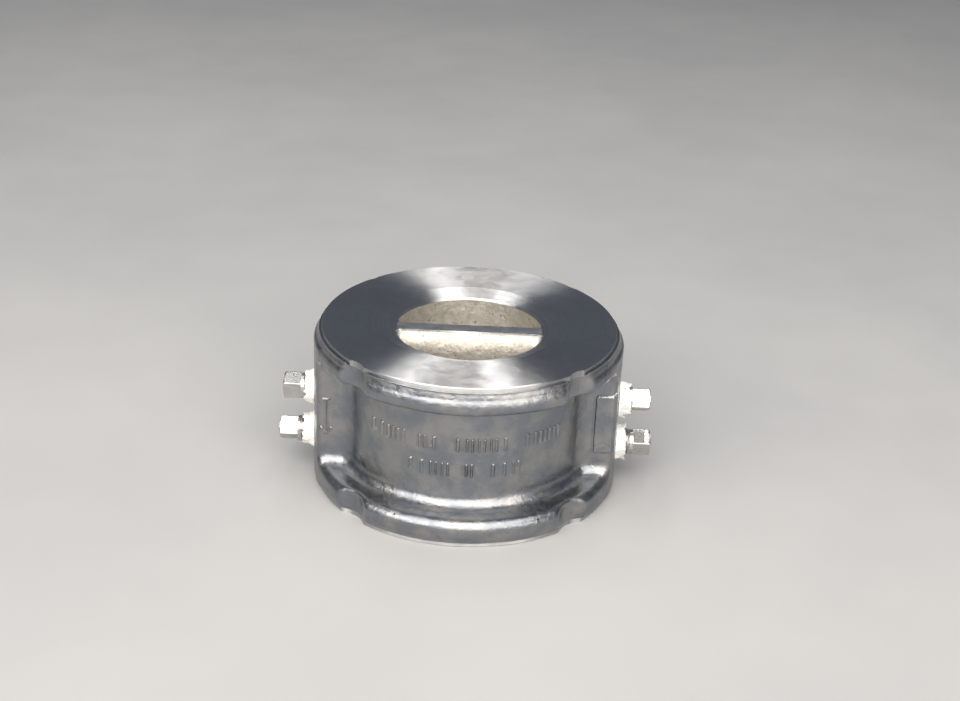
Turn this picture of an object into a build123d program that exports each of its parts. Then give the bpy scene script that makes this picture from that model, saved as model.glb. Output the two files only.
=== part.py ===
"""Dual-plate wafer check valve, DN 50 (NPS 2), retainer type, in millimetres.

The origin is the centre of the outlet gasket face. +Z runs from the outlet up to the inlet, against the
flow, and +X runs along the hinge pin and the stop pin. The front plate is on the -Y side.
"""
from build123d import *
from math import cos, radians, sin, sqrt
import os

# Casting, outside
FACE_TO_FACE = 60.0
RIM_R = 55.5
INLET_LIP_R = 52.6
OUTLET_LIP_R = 54.1
LIP_HEIGHT = 1.6
NECK_R = 44.0
RIM_HEIGHT = 10.0
RIM_UPPER_ROUND = 2.6
NECK_FILLET = 3.4

# Bosses on the sides that carry the pins
PAD_R = 55.35
PAD_HALF_WIDTH = 16.0
PAD_EDGE_ROUND = 2.0
PAD_ROOT_FILLET = 3.5
SPOT_FACE_X = 55.0
SPOT_FACE_HALF_WIDTH = 9.5
SPOT_FACE_Z = (7.8, 49.0)

# Clearance notches for the four flange studs
STUD_CIRCLE_R = 120.65 / 2
NOTCH_R = 8.4
NOTCH_ANGLES = (45, 135, 225, 315)
NOTCH_BALL_Z = 7.5

# Inlet: gasket face, dish, two D-shaped ports and the bar between them
DISH_R = 32.0
DISH_DEPTH = 2.2
THROAT_R = 26.3
PORT_CORNER_ROUND = 1.3
BAR_TOP_HALF_WIDTH = 1.95
BAR_HALF_WIDTH = 6.5
BAR_SHOULDER_DROP = 9.0

# Outlet bore, seat and seal
BORE_R = 31.5
SEAT_Z = 42.3
SEAL_INNER_R = 27.0
SEAL_OUTER_R = 30.0
SEAL_THICKNESS = 2.0
SEAL_BAR_HALF_WIDTH = 4.4

# Pins and their holes
HINGE_Z = 32.3
STOP_Z = 14.9
PIN_R = 3.175
PIN_FIT = 0.05
PIN_LENGTH = 98.6
PIN_CHAMFER = 0.5

# Plates
PLATE_R = 29.0
PLATE_THICKNESS = 4.8
PLATE_SEAT_GAP = 0.05
PLATE_EDGE_CHAMFER = 1.4
PLATE_MID_GAP = 0.35
LUG_R = 4.9
LUG_FIT = 0.075
OUTER_LUG = (21.0, 28.2)
INNER_LUG = (12.6, 19.1)
STOP_BOSS_X = 15.0
STOP_BOSS_R = 3.0
OPEN_ANGLE = 85.0
STOP_GAP = 0.03

# Washers on the hinge pin, from the wall to the spring
WASHER_R = 4.7
BODY_BEARING = (28.4, 30.9)
PLATE_BEARING = (19.3, 20.8)
SPRING_BEARING = (10.9, 12.4)

# Closing spring
WIRE_R = 0.7
COIL_R = 4.2
COIL_TURNS = 10
COIL_HALF_LENGTH = 9.8
SPRING_LEG = 17.5

# Pipe plugs, 1/8 NPT with a square head, and the thread tape round them
PLUG_SQUARE = 7.0
PLUG_HEAD_LENGTH = 6.9
PLUG_THREAD_LENGTH = 9.5
THREAD_CREST_R = 5.1
THREAD_DEPTH = 0.6
THREAD_PITCH = 25.4 / 27
THREAD_TAPER = 1 / 32
TAP_BORE_R = 4.3
TAP_CLEARANCE = 0.06
TAPE_R = 6.1
TAPE_INNER_R = 5.2
TAPE_LENGTH = 3.1
HINGE_PLUG_END_X = 66.4
STOP_PLUG_END_X = 67.8

# How far each square head is turned from level, in degrees
HEAD_TURN = {
    ("left", "hinge"): 14.0,
    ("right", "hinge"): 56.0,
    ("left", "stop"): 49.0,
    ("right", "stop"): 25.0,
}

# Raised marks cast on the outside
MARK_HEIGHT = 0.7
ARROW_PLACE = (-49.6, 28.8)
ARROW_LENGTH = 13.0
ARROW_WIDTH = 1.0
MARK_ROWS = ((34.0, (4, 2, 5, 4)), (24.3, (4, 1, 3)))
MARK_PITCH_DEG = 5.4
MARK_WIDTHS = (2.4, 1.5, 2.0)
MARK_LENGTH = 5.0
PLATE_PAD_PLACE = (49.2, 29.7)
PLATE_PAD = (6.8, 23.0, 0.5)

SEAT_FLOOR = SEAT_Z - PLATE_SEAT_GAP
PLATE_BOTTOM = SEAT_FLOOR - PLATE_THICKNESS


def at_x(shape, x):
    """The shape, made along +Z from the origin, laid along +X so that its base is at x."""
    return Pos(x, 0, 0) * Rot(0, 90, 0) * shape


def rod_x(radius, x_low, x_high, z):
    """A round rod along X."""
    rod = Cylinder(radius, x_high - x_low, align=(Align.CENTER, Align.CENTER, Align.MIN))
    return Pos(0, 0, z) * at_x(rod, x_low)


def ring_x(outer_r, inner_r, x_low, x_high, z):
    """A washer or sleeve along X."""
    return rod_x(outer_r, x_low, x_high, z) - rod_x(inner_r, x_low - 1, x_high + 1, z)


def turned(points):
    """The solid that a closed outline of (radius, height) points sweeps round the Z axis."""
    return revolve(Plane.XZ * Polygon(*points, align=None), Axis.Z)


def rounded_outline(points, rounds):
    """A closed (radius, height) outline with some corners rounded; rounds maps a corner's place to a radius."""
    outline = Polygon(*points, align=None)
    for index, radius in rounds.items():
        x, y = points[index]
        corner = outline.vertices().sort_by_distance((x, y, 0))[0]
        outline = fillet(corner, radius)
    return outline


def rims_and_neck():
    """The round casting: a raised lip at each end, two rims and the narrower neck between them."""
    top = FACE_TO_FACE
    points = [
        (0, 0),
        (OUTLET_LIP_R, 0),
        (OUTLET_LIP_R, LIP_HEIGHT),
        (RIM_R, LIP_HEIGHT + 2.2),
        (RIM_R, RIM_HEIGHT),
        (NECK_R, RIM_HEIGHT),
        (NECK_R, top - RIM_HEIGHT),
        (RIM_R, top - RIM_HEIGHT),
        (RIM_R, top - LIP_HEIGHT - 0.2),
        (INLET_LIP_R + 0.2, top - LIP_HEIGHT - 0.2),
        (INLET_LIP_R, top - LIP_HEIGHT),
        (INLET_LIP_R, top),
        (0, top),
    ]
    rounds = {
        3: 2.0,
        4: RIM_UPPER_ROUND,
        5: NECK_FILLET,
        6: NECK_FILLET,
        7: RIM_UPPER_ROUND,
        8: 2.4,
    }
    casting = revolve(Plane.XZ * rounded_outline(points, rounds), Axis.Z)
    lips = casting.faces().filter_by(Axis.Z).sort_by(Axis.Z)
    return chamfer([lips[0].outer_wire().edges(), lips[-1].outer_wire().edges()], 0.3)


def pad_prism():
    """The neck with its two side bosses, as one upright prism. A boss has flat front and rear faces."""
    section = Circle(NECK_R) + (Circle(PAD_R) & Rectangle(4 * PAD_R, 2 * PAD_HALF_WIDTH))
    corner_x = sqrt(PAD_R ** 2 - PAD_HALF_WIDTH ** 2)
    outer = [v for v in section.vertices() if abs(abs(v.X) - corner_x) < 0.5]
    section = fillet(outer, PAD_EDGE_ROUND)
    root_x = sqrt(NECK_R ** 2 - PAD_HALF_WIDTH ** 2)
    roots = [v for v in section.vertices() if abs(abs(v.X) - root_x) < 0.5 and abs(v.Y) < PAD_HALF_WIDTH + 0.5]
    section = fillet(roots, PAD_ROOT_FILLET)
    low = RIM_HEIGHT / 2
    return Pos(0, 0, low) * extrude(section, FACE_TO_FACE - 2 * low)


def stud_notches():
    """The space of the four studs: right through the inlet rim, and domed at its end in the outlet rim."""
    space = Part()
    for angle in NOTCH_ANGLES:
        x = STUD_CIRCLE_R * cos(radians(angle))
        y = STUD_CIRCLE_R * sin(radians(angle))
        low = Cylinder(NOTCH_R, NOTCH_BALL_Z + 2, align=(Align.CENTER, Align.CENTER, Align.MAX))
        high = Cylinder(NOTCH_R, 14, align=(Align.CENTER, Align.CENTER, Align.MIN))
        space += Pos(x, y, NOTCH_BALL_Z) * low
        space += Pos(x, y, NOTCH_BALL_Z) * Sphere(NOTCH_R)
        space += Pos(x, y, FACE_TO_FACE - 12.5) * high
    return space


def bar():
    """The bar across the inlet: flat on top, swelling downwards, with straight sides to the seat."""
    shoulder_z = FACE_TO_FACE - DISH_DEPTH - BAR_SHOULDER_DROP
    top_z = FACE_TO_FACE - DISH_DEPTH
    steps = 10
    flank = []
    for i in range(steps + 1):
        swing = radians(90 * i / steps)
        y = BAR_TOP_HALF_WIDTH + (BAR_HALF_WIDTH - BAR_TOP_HALF_WIDTH) * sin(swing)
        z = shoulder_z + (top_z - shoulder_z) * cos(swing)
        flank.append((y, z))
    right = Spline(*[(y, z) for y, z in flank])
    left = Spline(*[(-y, z) for y, z in reversed(flank)])
    low = SEAT_Z - 1
    outline = right
    outline += Polyline((BAR_HALF_WIDTH, shoulder_z), (BAR_HALF_WIDTH, low), (-BAR_HALF_WIDTH, low),
                        (-BAR_HALF_WIDTH, shoulder_z))
    outline += left
    outline += Line((-BAR_TOP_HALF_WIDTH, top_z), (BAR_TOP_HALF_WIDTH, top_z))
    face = Plane.YZ * make_face(outline)
    return extrude(face, 40, both=True)


def inlet_ports():
    """The two D-shaped ports, as the space between the throat wall and the bar."""
    height = FACE_TO_FACE - SEAT_Z + 4
    throat = Pos(0, 0, SEAT_Z - 0.5) * Cylinder(THROAT_R, height, align=(Align.CENTER, Align.CENTER, Align.MIN))
    ports = throat - bar()
    corners = []
    for edge in ports.edges():
        middle = edge.center()
        steep = edge.bounding_box().size.Z > 4
        if steep and abs(middle.X) > THROAT_R - 3:
            corners.append(edge)
    return fillet(corners, PORT_CORNER_ROUND)


def seal_ring():
    """The rubber seat: a ring with a strip across it under the bar."""
    ring = Cylinder(SEAL_OUTER_R, SEAL_THICKNESS, align=(Align.CENTER, Align.CENTER, Align.MIN))
    ring -= Cylinder(SEAL_INNER_R, SEAL_THICKNESS, align=(Align.CENTER, Align.CENTER, Align.MIN))
    strip = Box(2 * SEAL_OUTER_R, 2 * SEAL_BAR_HALF_WIDTH, SEAL_THICKNESS,
                align=(Align.CENTER, Align.CENTER, Align.MIN))
    disc = Cylinder(SEAL_INNER_R + 0.5, SEAL_THICKNESS, align=(Align.CENTER, Align.CENTER, Align.MIN))
    return Pos(0, 0, SEAT_Z) * (ring + (strip & disc))


def pin_holes():
    """Through holes for both pins, opened out and tapped at each end."""
    holes = Part()
    for z, end_x in ((HINGE_Z, HINGE_PLUG_END_X), (STOP_Z, STOP_PLUG_END_X)):
        holes += rod_x(PIN_R + PIN_FIT, -60, 60, z)
        inner_x = end_x - PLUG_HEAD_LENGTH - PLUG_THREAD_LENGTH
        mouth_r = thread_crest(SPOT_FACE_X, end_x) + TAP_CLEARANCE
        small_r = thread_crest(inner_x, end_x) + TAP_CLEARANCE
        depth = SPOT_FACE_X + 3 - inner_x
        tap = Pos(0, 0, depth / 2) * Cone(small_r, mouth_r + 3 * THREAD_TAPER, depth)
        drill = Cylinder(TAP_BORE_R, 3.5, align=(Align.CENTER, Align.CENTER, Align.MIN))
        for turn in (0, 180):
            ends = Pos(0, 0, z) * (at_x(tap, inner_x) + at_x(drill, inner_x - 3.4))
            holes += Rot(0, 0, turn) * ends
    return holes


def thread_crest(x, end_x):
    """Crest radius of the tapered thread at x, for a plug whose head ends at end_x."""
    return THREAD_CREST_R - THREAD_TAPER * (end_x - PLUG_HEAD_LENGTH - x)


def flow_arrow():
    """A raised arrow on the left boss that points from the inlet to the outlet."""
    shaft = Rectangle(ARROW_WIDTH, ARROW_LENGTH)
    tip_y = -ARROW_LENGTH / 2
    head = Polygon((0, tip_y - 1.0), (1.9, tip_y + 2.2), (-1.9, tip_y + 2.2), align=None)
    tail = Pos(0, ARROW_LENGTH / 2 - 0.5) * Rectangle(2.8, 1.0)
    return shaft + head + tail


def on_boss(sketch, place, height):
    """A sketch raised on the front face of a boss, at that (x, z) place."""
    x, z = place
    plane = Plane(origin=(x, 1 - PAD_HALF_WIDTH, z), x_dir=(1, 0, 0), z_dir=(0, -1, 0))
    return extrude(plane * sketch, 1 + height)


def neck_marks():
    """Two rows of plain raised bars on the front of the neck, in groups with a space between groups."""
    marks = Part()
    for z, groups in MARK_ROWS:
        places = []
        for group in groups:
            start = places[-1] + 2 if places else 0
            places += [start + i for i in range(group)]
        for i, place in enumerate(places):
            azimuth = 270 + MARK_PITCH_DEG * (place - places[-1] / 2)
            marks += mark_bar(azimuth, z, MARK_WIDTHS[i % len(MARK_WIDTHS)], MARK_LENGTH)
    return marks


def mark_bar(azimuth, z, width, height):
    """One raised bar on the neck, with a little draft."""
    outward = Vector(cos(radians(azimuth)), sin(radians(azimuth)), 0)
    sideways = Vector(-sin(radians(azimuth)), cos(radians(azimuth)), 0)
    plane = Plane(origin=outward * (NECK_R - 0.6) + Vector(0, 0, z), x_dir=sideways, z_dir=outward)
    return extrude(plane * RectangleRounded(width, height, 0.5), 0.6 + MARK_HEIGHT, taper=8)


def valve_body():
    """The cast body with all its machining."""
    body = rims_and_neck() + pad_prism()
    flats = Part()
    low_z, high_z = SPOT_FACE_Z
    for side in (-1, 1):
        flat = Box(6, 2 * SPOT_FACE_HALF_WIDTH, high_z - low_z)
        flats += Pos(side * (SPOT_FACE_X + 3), 0, (low_z + high_z) / 2) * flat
    body -= flats
    body -= stud_notches()
    body += on_boss(flow_arrow(), ARROW_PLACE, MARK_HEIGHT)
    width, height, thickness = PLATE_PAD
    body += on_boss(RectangleRounded(width, height, 1.0), PLATE_PAD_PLACE, thickness)
    body += neck_marks()
    bore = Cylinder(BORE_R, SEAT_Z + 5, align=(Align.CENTER, Align.CENTER, Align.MAX))
    body -= Pos(0, 0, SEAT_Z) * bore
    body -= inlet_ports()
    rim_z = FACE_TO_FACE - DISH_DEPTH
    body -= turned([(0, rim_z), (THROAT_R, rim_z), (DISH_R, FACE_TO_FACE), (DISH_R, FACE_TO_FACE + 2),
                    (0, FACE_TO_FACE + 2)])
    body -= seal_ring()
    body -= pin_holes()
    return body


def hinge_plate():
    """The front plate, closed: a half disc with two hinge lugs and two stop bosses on its outlet side."""
    disc = Pos(0, 0, PLATE_BOTTOM) * Cylinder(
        PLATE_R, PLATE_THICKNESS, align=(Align.CENTER, Align.CENTER, Align.MIN)
    )
    rim = disc.faces().sort_by(Axis.Z)[0].edges()
    disc = chamfer(rim, PLATE_EDGE_CHAMFER)
    front = Box(80, 40, 40, align=(Align.CENTER, Align.MAX, Align.MIN))
    plate = disc & (Pos(0, -PLATE_MID_GAP, PLATE_BOTTOM - 10) * front)
    for x_low, x_high in ((-OUTER_LUG[1], -OUTER_LUG[0]), INNER_LUG):
        plate += lug(x_low, x_high)
    reach = HINGE_Z - STOP_Z
    height = reach * cos(radians(OPEN_ANGLE)) + (PLATE_BOTTOM - HINGE_Z) - PIN_R - STOP_GAP
    for x in (-STOP_BOSS_X, STOP_BOSS_X):
        boss = Cone(STOP_BOSS_R, STOP_BOSS_R + 0.5, height + 1)
        plate += Pos(x, -reach, PLATE_BOTTOM - height + (height + 1) / 2) * boss
    return plate - rod_x(PIN_R + LUG_FIT, -40, 40, HINGE_Z)


def lug(x_low, x_high):
    """One hinge lug: a round eye with a web up to the plate."""
    middle = (x_low + x_high) / 2
    web = Box(x_high - x_low, LUG_R - PLATE_MID_GAP, PLATE_BOTTOM - HINGE_Z + 1,
              align=(Align.CENTER, Align.MAX, Align.MIN))
    return rod_x(LUG_R, x_low, x_high, HINGE_Z) + Pos(middle, -PLATE_MID_GAP, HINGE_Z) * web


def pin():
    """A straight round pin along X, with its ends broken."""
    rod = Cylinder(PIN_R, PIN_LENGTH)
    rod = chamfer(rod.edges(), PIN_CHAMFER)
    return Rot(0, 90, 0) * rod


def closing_spring():
    """One torsion spring round the hinge pin, with a leg under each plate."""
    pitch = 2 * COIL_HALF_LENGTH / COIL_TURNS
    coil = Helix(pitch, 2 * COIL_HALF_LENGTH, COIL_R, lefthand=True)
    wire = sweep(Plane(origin=coil @ 0, z_dir=coil % 0) * Circle(WIRE_R), path=coil)
    spring = Pos(-COIL_HALF_LENGTH, 0, HINGE_Z) * Rot(0, 90, 0) * wire
    for side in (-1, 1):
        leg = Cylinder(WIRE_R, SPRING_LEG, align=(Align.CENTER, Align.CENTER, Align.MIN))
        spring += Pos(side * COIL_HALF_LENGTH, 0, HINGE_Z + COIL_R) * Rot(-side * 90, 0, 0) * leg
    return spring


def plug(end_x, turn):
    """One plug on the +X side: a square head and a tapered thread, drawn as rings at the thread's pitch."""
    head_x = end_x - PLUG_HEAD_LENGTH
    inner_x = head_x - PLUG_THREAD_LENGTH
    outline = [(0, 0), (THREAD_CREST_R - 1.4, 0)]
    turns = int(PLUG_THREAD_LENGTH / THREAD_PITCH)
    for i in range(turns):
        along = (i + 0.5) * THREAD_PITCH
        crest = thread_crest(inner_x + along, end_x)
        outline.append((crest, along))
        outline.append((crest - THREAD_DEPTH, along + THREAD_PITCH / 2))
    outline += [(THREAD_CREST_R - 0.7, PLUG_THREAD_LENGTH), (0, PLUG_THREAD_LENGTH)]
    thread = at_x(turned(outline), inner_x)
    square = Box(PLUG_SQUARE, PLUG_SQUARE, PLUG_HEAD_LENGTH, align=(Align.CENTER, Align.CENTER, Align.MIN))
    square = fillet(square.edges().filter_by(Axis.Z), 0.35)
    square = chamfer(square.faces().sort_by(Axis.Z)[-1].edges(), 0.3)
    return thread + Rot(-turn, 0, 0) * at_x(square, head_x)


def tape():
    """Thread tape bunched up between the boss and the plug's head, on the +X side."""
    low = SPOT_FACE_X + 0.05
    outer = [(TAPE_INNER_R, 0), (TAPE_R, 0), (TAPE_R, 1.3), (TAPE_INNER_R + 0.35, TAPE_LENGTH),
             (TAPE_INNER_R, TAPE_LENGTH)]
    return at_x(turned(outer), low)


def both_sides(name, z, end_x, parts):
    """The plug and the tape at each end of one pin."""
    for side, turn in (("right", 0), ("left", 180)):
        head = HEAD_TURN[(side, name)]
        lean = head if side == "left" else -head
        parts[f"{side}_{name}_plug"] = Pos(0, 0, z) * Rot(0, 0, turn) * plug(end_x, lean)
        parts[f"{side}_{name}_tape"] = Pos(0, 0, z) * Rot(0, 0, turn) * tape()


def all_parts():
    """Every piece of the valve, by node name."""
    front = hinge_plate()
    parts = {
        "valve_body": valve_body(),
        "seat_seal": seal_ring(),
        "front_plate": front,
        "rear_plate": Rot(0, 0, 180) * front,
        "hinge_pin": Pos(0, 0, HINGE_Z) * pin(),
        "stop_pin": Pos(0, 0, STOP_Z) * pin(),
        "closing_spring": closing_spring(),
    }
    for name, (x_low, x_high) in (
        ("body_bearing", BODY_BEARING),
        ("plate_bearing", PLATE_BEARING),
        ("spring_bearing", SPRING_BEARING),
    ):
        right = ring_x(WASHER_R, PIN_R + PIN_FIT, x_low, x_high, HINGE_Z)
        parts[f"right_{name}"] = right
        parts[f"left_{name}"] = Rot(0, 0, 180) * right
    both_sides("hinge", HINGE_Z, HINGE_PLUG_END_X, parts)
    both_sides("stop", STOP_Z, STOP_PLUG_END_X, parts)
    return parts


os.makedirs("parts", exist_ok=True)
for node, shape in all_parts().items():
    export_step(shape, f"parts/{node}.step")
    print(node, round(shape.volume, 2))
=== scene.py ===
import math

import bmesh
import bpy
import numpy as np
from mathutils import Matrix, Vector, noise


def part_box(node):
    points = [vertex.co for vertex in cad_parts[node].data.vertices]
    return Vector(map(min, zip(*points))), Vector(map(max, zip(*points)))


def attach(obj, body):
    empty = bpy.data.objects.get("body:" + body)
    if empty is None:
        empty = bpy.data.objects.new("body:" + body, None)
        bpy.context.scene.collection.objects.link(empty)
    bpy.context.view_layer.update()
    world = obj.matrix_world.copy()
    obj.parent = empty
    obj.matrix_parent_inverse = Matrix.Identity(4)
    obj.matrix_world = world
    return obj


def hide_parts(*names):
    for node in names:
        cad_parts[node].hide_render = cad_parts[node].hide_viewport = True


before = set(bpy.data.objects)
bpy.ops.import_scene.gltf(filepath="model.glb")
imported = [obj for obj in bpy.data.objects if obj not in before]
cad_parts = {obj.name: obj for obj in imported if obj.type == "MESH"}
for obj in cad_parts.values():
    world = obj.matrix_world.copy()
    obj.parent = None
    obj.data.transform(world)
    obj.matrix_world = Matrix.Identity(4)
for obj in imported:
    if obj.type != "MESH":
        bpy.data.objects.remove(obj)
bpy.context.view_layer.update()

MM = 0.001


def node_box(node):
    """Lowest and highest corner of a CAD node, in millimetres."""
    low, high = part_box(node)
    return low / MM, high / MM


# Sizes read from the frame
BODY_LOW, BODY_HIGH = node_box("valve_body")
PIN_LOW, PIN_HIGH = node_box("hinge_pin")
STOP_LOW, STOP_HIGH = node_box("stop_pin")
FACE_TO_FACE = BODY_HIGH.z - BODY_LOW.z
BODY_R = BODY_HIGH.y
HINGE_Z = (PIN_LOW.z + PIN_HIGH.z) / 2
STOP_Z = (STOP_LOW.z + STOP_HIGH.z) / 2
PIN_R = (PIN_HIGH.z - PIN_LOW.z) / 2

# Casting: rims, neck and the two bosses
CAST_R = BODY_R - 0.2
NECK_R = 44.0
RIM_HEIGHT = 10.0
OUTLET_RIM_ROUND = 3.8
OUTLET_FILLET = 4.6
INLET_RIM_ROUND = 2.6
INLET_FILLET = 3.4
RIM_SLOPE_Z = FACE_TO_FACE - 6.0
RIM_SLOPE = 0.42
RIM_STEP_R = 53.5
RIM_GROOVE = (56.1, 0.35, 0.16)
RIM_TAPER_Z = 3.9
RIM_TAPER = 0.34
BOSS_R = BODY_R - 0.3
BOSS_HALF_WIDTH = 16.0
BOSS_EDGE_ROUND = 2.0
BOSS_FILLET = 4.4
BOSS_Z = (4.0, FACE_TO_FACE - 7.4)

# Stud notches
STUD_PLACE = 120.65 / 2 * math.cos(math.radians(45))
NOTCH_R = 8.4
NOTCH_BALL_Z = 6.4
NOTCH_TOP_Z = FACE_TO_FACE - 12.5
NOTCH_ROUND = 1.5

# Machining
INLET_LIP_R = 52.6
OUTLET_LIP_R = 54.1
LIP_HEIGHT = 1.6
LIP_CHAMFER = 0.3
DISH_R = 32.0
DISH_DEPTH = 2.2
THROAT_R = 26.3
BORE_R = 31.5
SEAT_Z = 42.3
SEAL_INNER_R = 27.0
SEAL_OUTER_R = 30.0
SEAL_THICKNESS = 2.0
SEAL_BAR_HALF_WIDTH = 4.4
BAR_TOP_HALF_WIDTH = 1.95
BAR_HALF_WIDTH = 6.5
BAR_SHOULDER_DROP = 9.0
MOUTH_CHAMFER = 0.45
PORT_CORNER_R = 2.6
SPOT_FACE_X = 55.0
SPOT_FACE_HALF_WIDTH = 9.5
SPOT_FACE_Z = (7.8, 49.0)

# Plugs and tape
PLUG_SQUARE = 7.0
PLUG_HEAD_LENGTH = 6.9
PLUG_THREAD_LENGTH = 9.5
THREAD_CREST_R = 5.1
THREAD_DEPTH = 0.6
THREAD_PITCH = 25.4 / 27
THREAD_TAPER = 1 / 32
HEAD_TURN = {
    "left_hinge": 14.0,
    "right_hinge": 56.0,
    "left_stop": 49.0,
    "right_stop": 25.0,
}

# Spring
WIRE_R = 0.7
COIL_R = 4.2
COIL_TURNS = 10
COIL_HALF_LENGTH = 9.8
SPRING_LEG = 17.5

# Points closer than this become one after the cuts
WELD = 0.002

# Turned faces meet in a crisp edge where they differ by more than these degrees
TURNED_CREASE = 8

# Share of a turn between the shader's grain and the lathe's
TURN_OF_GRAIN = 0.25

# Zones of the body, in the order of its material slots
CAST, TURNED, PORT, BORED, BAR_TOP = range(5)


# ---------------------------------------------------------------- mesh helpers

def new_piece(name, points, faces, materials=()):
    """A mesh object from points in millimetres."""
    mesh = bpy.data.meshes.new(name)
    mesh.from_pydata((np.asarray(points, float) * MM).tolist(), [], faces)
    mesh.validate()
    mesh.update()
    for item in materials:
        mesh.materials.append(item)
    piece = bpy.data.objects.new(name, mesh)
    bpy.context.scene.collection.objects.link(piece)
    return piece


def joined(name, solids):
    """Several (points, faces) solids as one object."""
    points, faces = [], []
    for solid_points, solid_faces in solids:
        start = len(points)
        points += [tuple(p) for p in solid_points]
        faces += [[start + i for i in face] for face in solid_faces]
    return new_piece(name, points, faces)


def combine(piece, tool, operation):
    """Adds the tool to the piece, or cuts it away, and removes the tool."""
    change = piece.modifiers.new("combine", "BOOLEAN")
    change.operation = operation
    change.solver = "MANIFOLD"
    change.object = tool
    view = bpy.context.evaluated_depsgraph_get()
    mesh = bpy.data.meshes.new_from_object(piece.evaluated_get(view))
    piece.modifiers.clear()
    old = piece.data
    piece.data = mesh
    bpy.data.meshes.remove(old)
    bpy.data.objects.remove(tool)


def weld(piece):
    """Joins points that a cut left almost on top of each other, so that the mesh closes cleanly."""
    work = bmesh.new()
    work.from_mesh(piece.data)
    bmesh.ops.remove_doubles(work, verts=work.verts, dist=WELD * MM)
    bmesh.ops.triangulate(work, faces=[face for face in work.faces if len(face.verts) > 4])
    bmesh.ops.dissolve_degenerate(work, edges=work.edges, dist=WELD * MM)
    loose = [edge for edge in work.edges if not edge.link_faces]
    bmesh.ops.delete(work, geom=loose, context="EDGES")
    work.to_mesh(piece.data)
    work.free()


def smooth(piece, angle):
    """Smooth shading, with the edges sharper than the angle left crisp."""
    piece.data.shade_smooth()
    piece.data.set_sharp_from_angle(angle=math.radians(angle))


def grid_faces(columns, rows, wrap):
    """Quads of a grid whose point (column, row) has number column * rows + row."""
    faces = []
    last = columns if wrap else columns - 1
    for column in range(last):
        here = column * rows
        there = (column + 1) % columns * rows
        for row in range(rows - 1):
            faces.append((here + row, there + row, there + row + 1, here + row + 1))
    return faces


def closed_tube(rings, low_cap, high_cap):
    """A closed solid from rings of points (columns x rows x 3), with a fan to one point at each end."""
    columns, rows = rings.shape[:2]
    points = rings.reshape(-1, 3).tolist()
    faces = grid_faces(columns, rows, True)
    for cap, row in ((low_cap, 0), (high_cap, rows - 1)):
        centre = len(points)
        points.append(cap)
        for column in range(columns):
            here, there = column * rows + row, (column + 1) % columns * rows + row
            faces.append((here, there, centre) if row else (there, here, centre))
    return points, faces


def turned_z(outline, steps):
    """A solid of revolution round Z from a (radius, height) outline that starts and ends on the axis."""
    middle = outline[1:-1]
    angles = np.linspace(0, 2 * math.pi, steps, endpoint=False)
    rings = np.array([[(r * math.cos(a), r * math.sin(a), z) for r, z in middle] for a in angles])
    return closed_tube(rings, (0, 0, outline[0][1]), (0, 0, outline[-1][1]))


def turned_x(outline, height, steps):
    """A solid of revolution round the line along X at that height, from an outline of (radius, x)."""
    middle = outline[1:-1]
    angles = np.linspace(0, 2 * math.pi, steps, endpoint=False)
    rings = np.array([[(x, r * math.cos(a), height + r * math.sin(a)) for r, x in middle] for a in angles])
    return closed_tube(rings, (outline[0][1], 0, height), (outline[-1][1], 0, height))


def block(low, high):
    """A plain cutting block between two corners."""
    (x0, y0, z0), (x1, y1, z1) = low, high
    points = [(x, y, z) for x in (x0, x1) for y in (y0, y1) for z in (z0, z1)]
    faces = [(0, 1, 3, 2), (4, 6, 7, 5), (0, 4, 5, 1), (2, 3, 7, 6), (0, 2, 6, 4), (1, 5, 7, 3)]
    return points, faces


def lumps(points, size, seed):
    """Smooth noise, between about -1 and 1, at each point, with lumps of about that size."""
    shift = Vector((seed * 17.3, seed * 9.1, seed * 5.7))
    return np.array([noise.noise(Vector(p) / size + shift) for p in points])


# ---------------------------------------------------------------- the casting, as a distance field

def round_and(a, b, radius):
    """Where two fields meet in a corner, rounded to that radius."""
    u = np.maximum(radius + a, 0)
    v = np.maximum(radius + b, 0)
    return np.minimum(-radius, np.maximum(a, b)) + np.hypot(u, v)


def round_or(a, b, radius):
    """Two fields joined with a fillet of that radius."""
    u = np.maximum(radius - a, 0)
    v = np.maximum(radius - b, 0)
    return np.maximum(radius, np.minimum(a, b)) - np.hypot(u, v)


def soft_over(value, softness):
    """The value where it is above zero, with a soft start."""
    return (value + np.sqrt(value * value + softness * softness)) / 2


def inlet_rim_r(z):
    """Radius of the inlet rim: it narrows towards the gasket face, with a faint groove round it."""
    groove_z, width, depth = RIM_GROOVE
    groove = depth * np.exp(-((z - groove_z) / width) ** 2)
    slant = CAST_R - RIM_SLOPE * soft_over(z - RIM_SLOPE_Z, 0.8) - groove
    return RIM_STEP_R + soft_over(slant - RIM_STEP_R, 0.12)


def outlet_rim_r(z):
    """Radius of the outlet rim: it narrows a little towards the gasket face."""
    return CAST_R - RIM_TAPER * np.clip(RIM_TAPER_Z - z, 0, RIM_TAPER_Z - LIP_HEIGHT)


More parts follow.
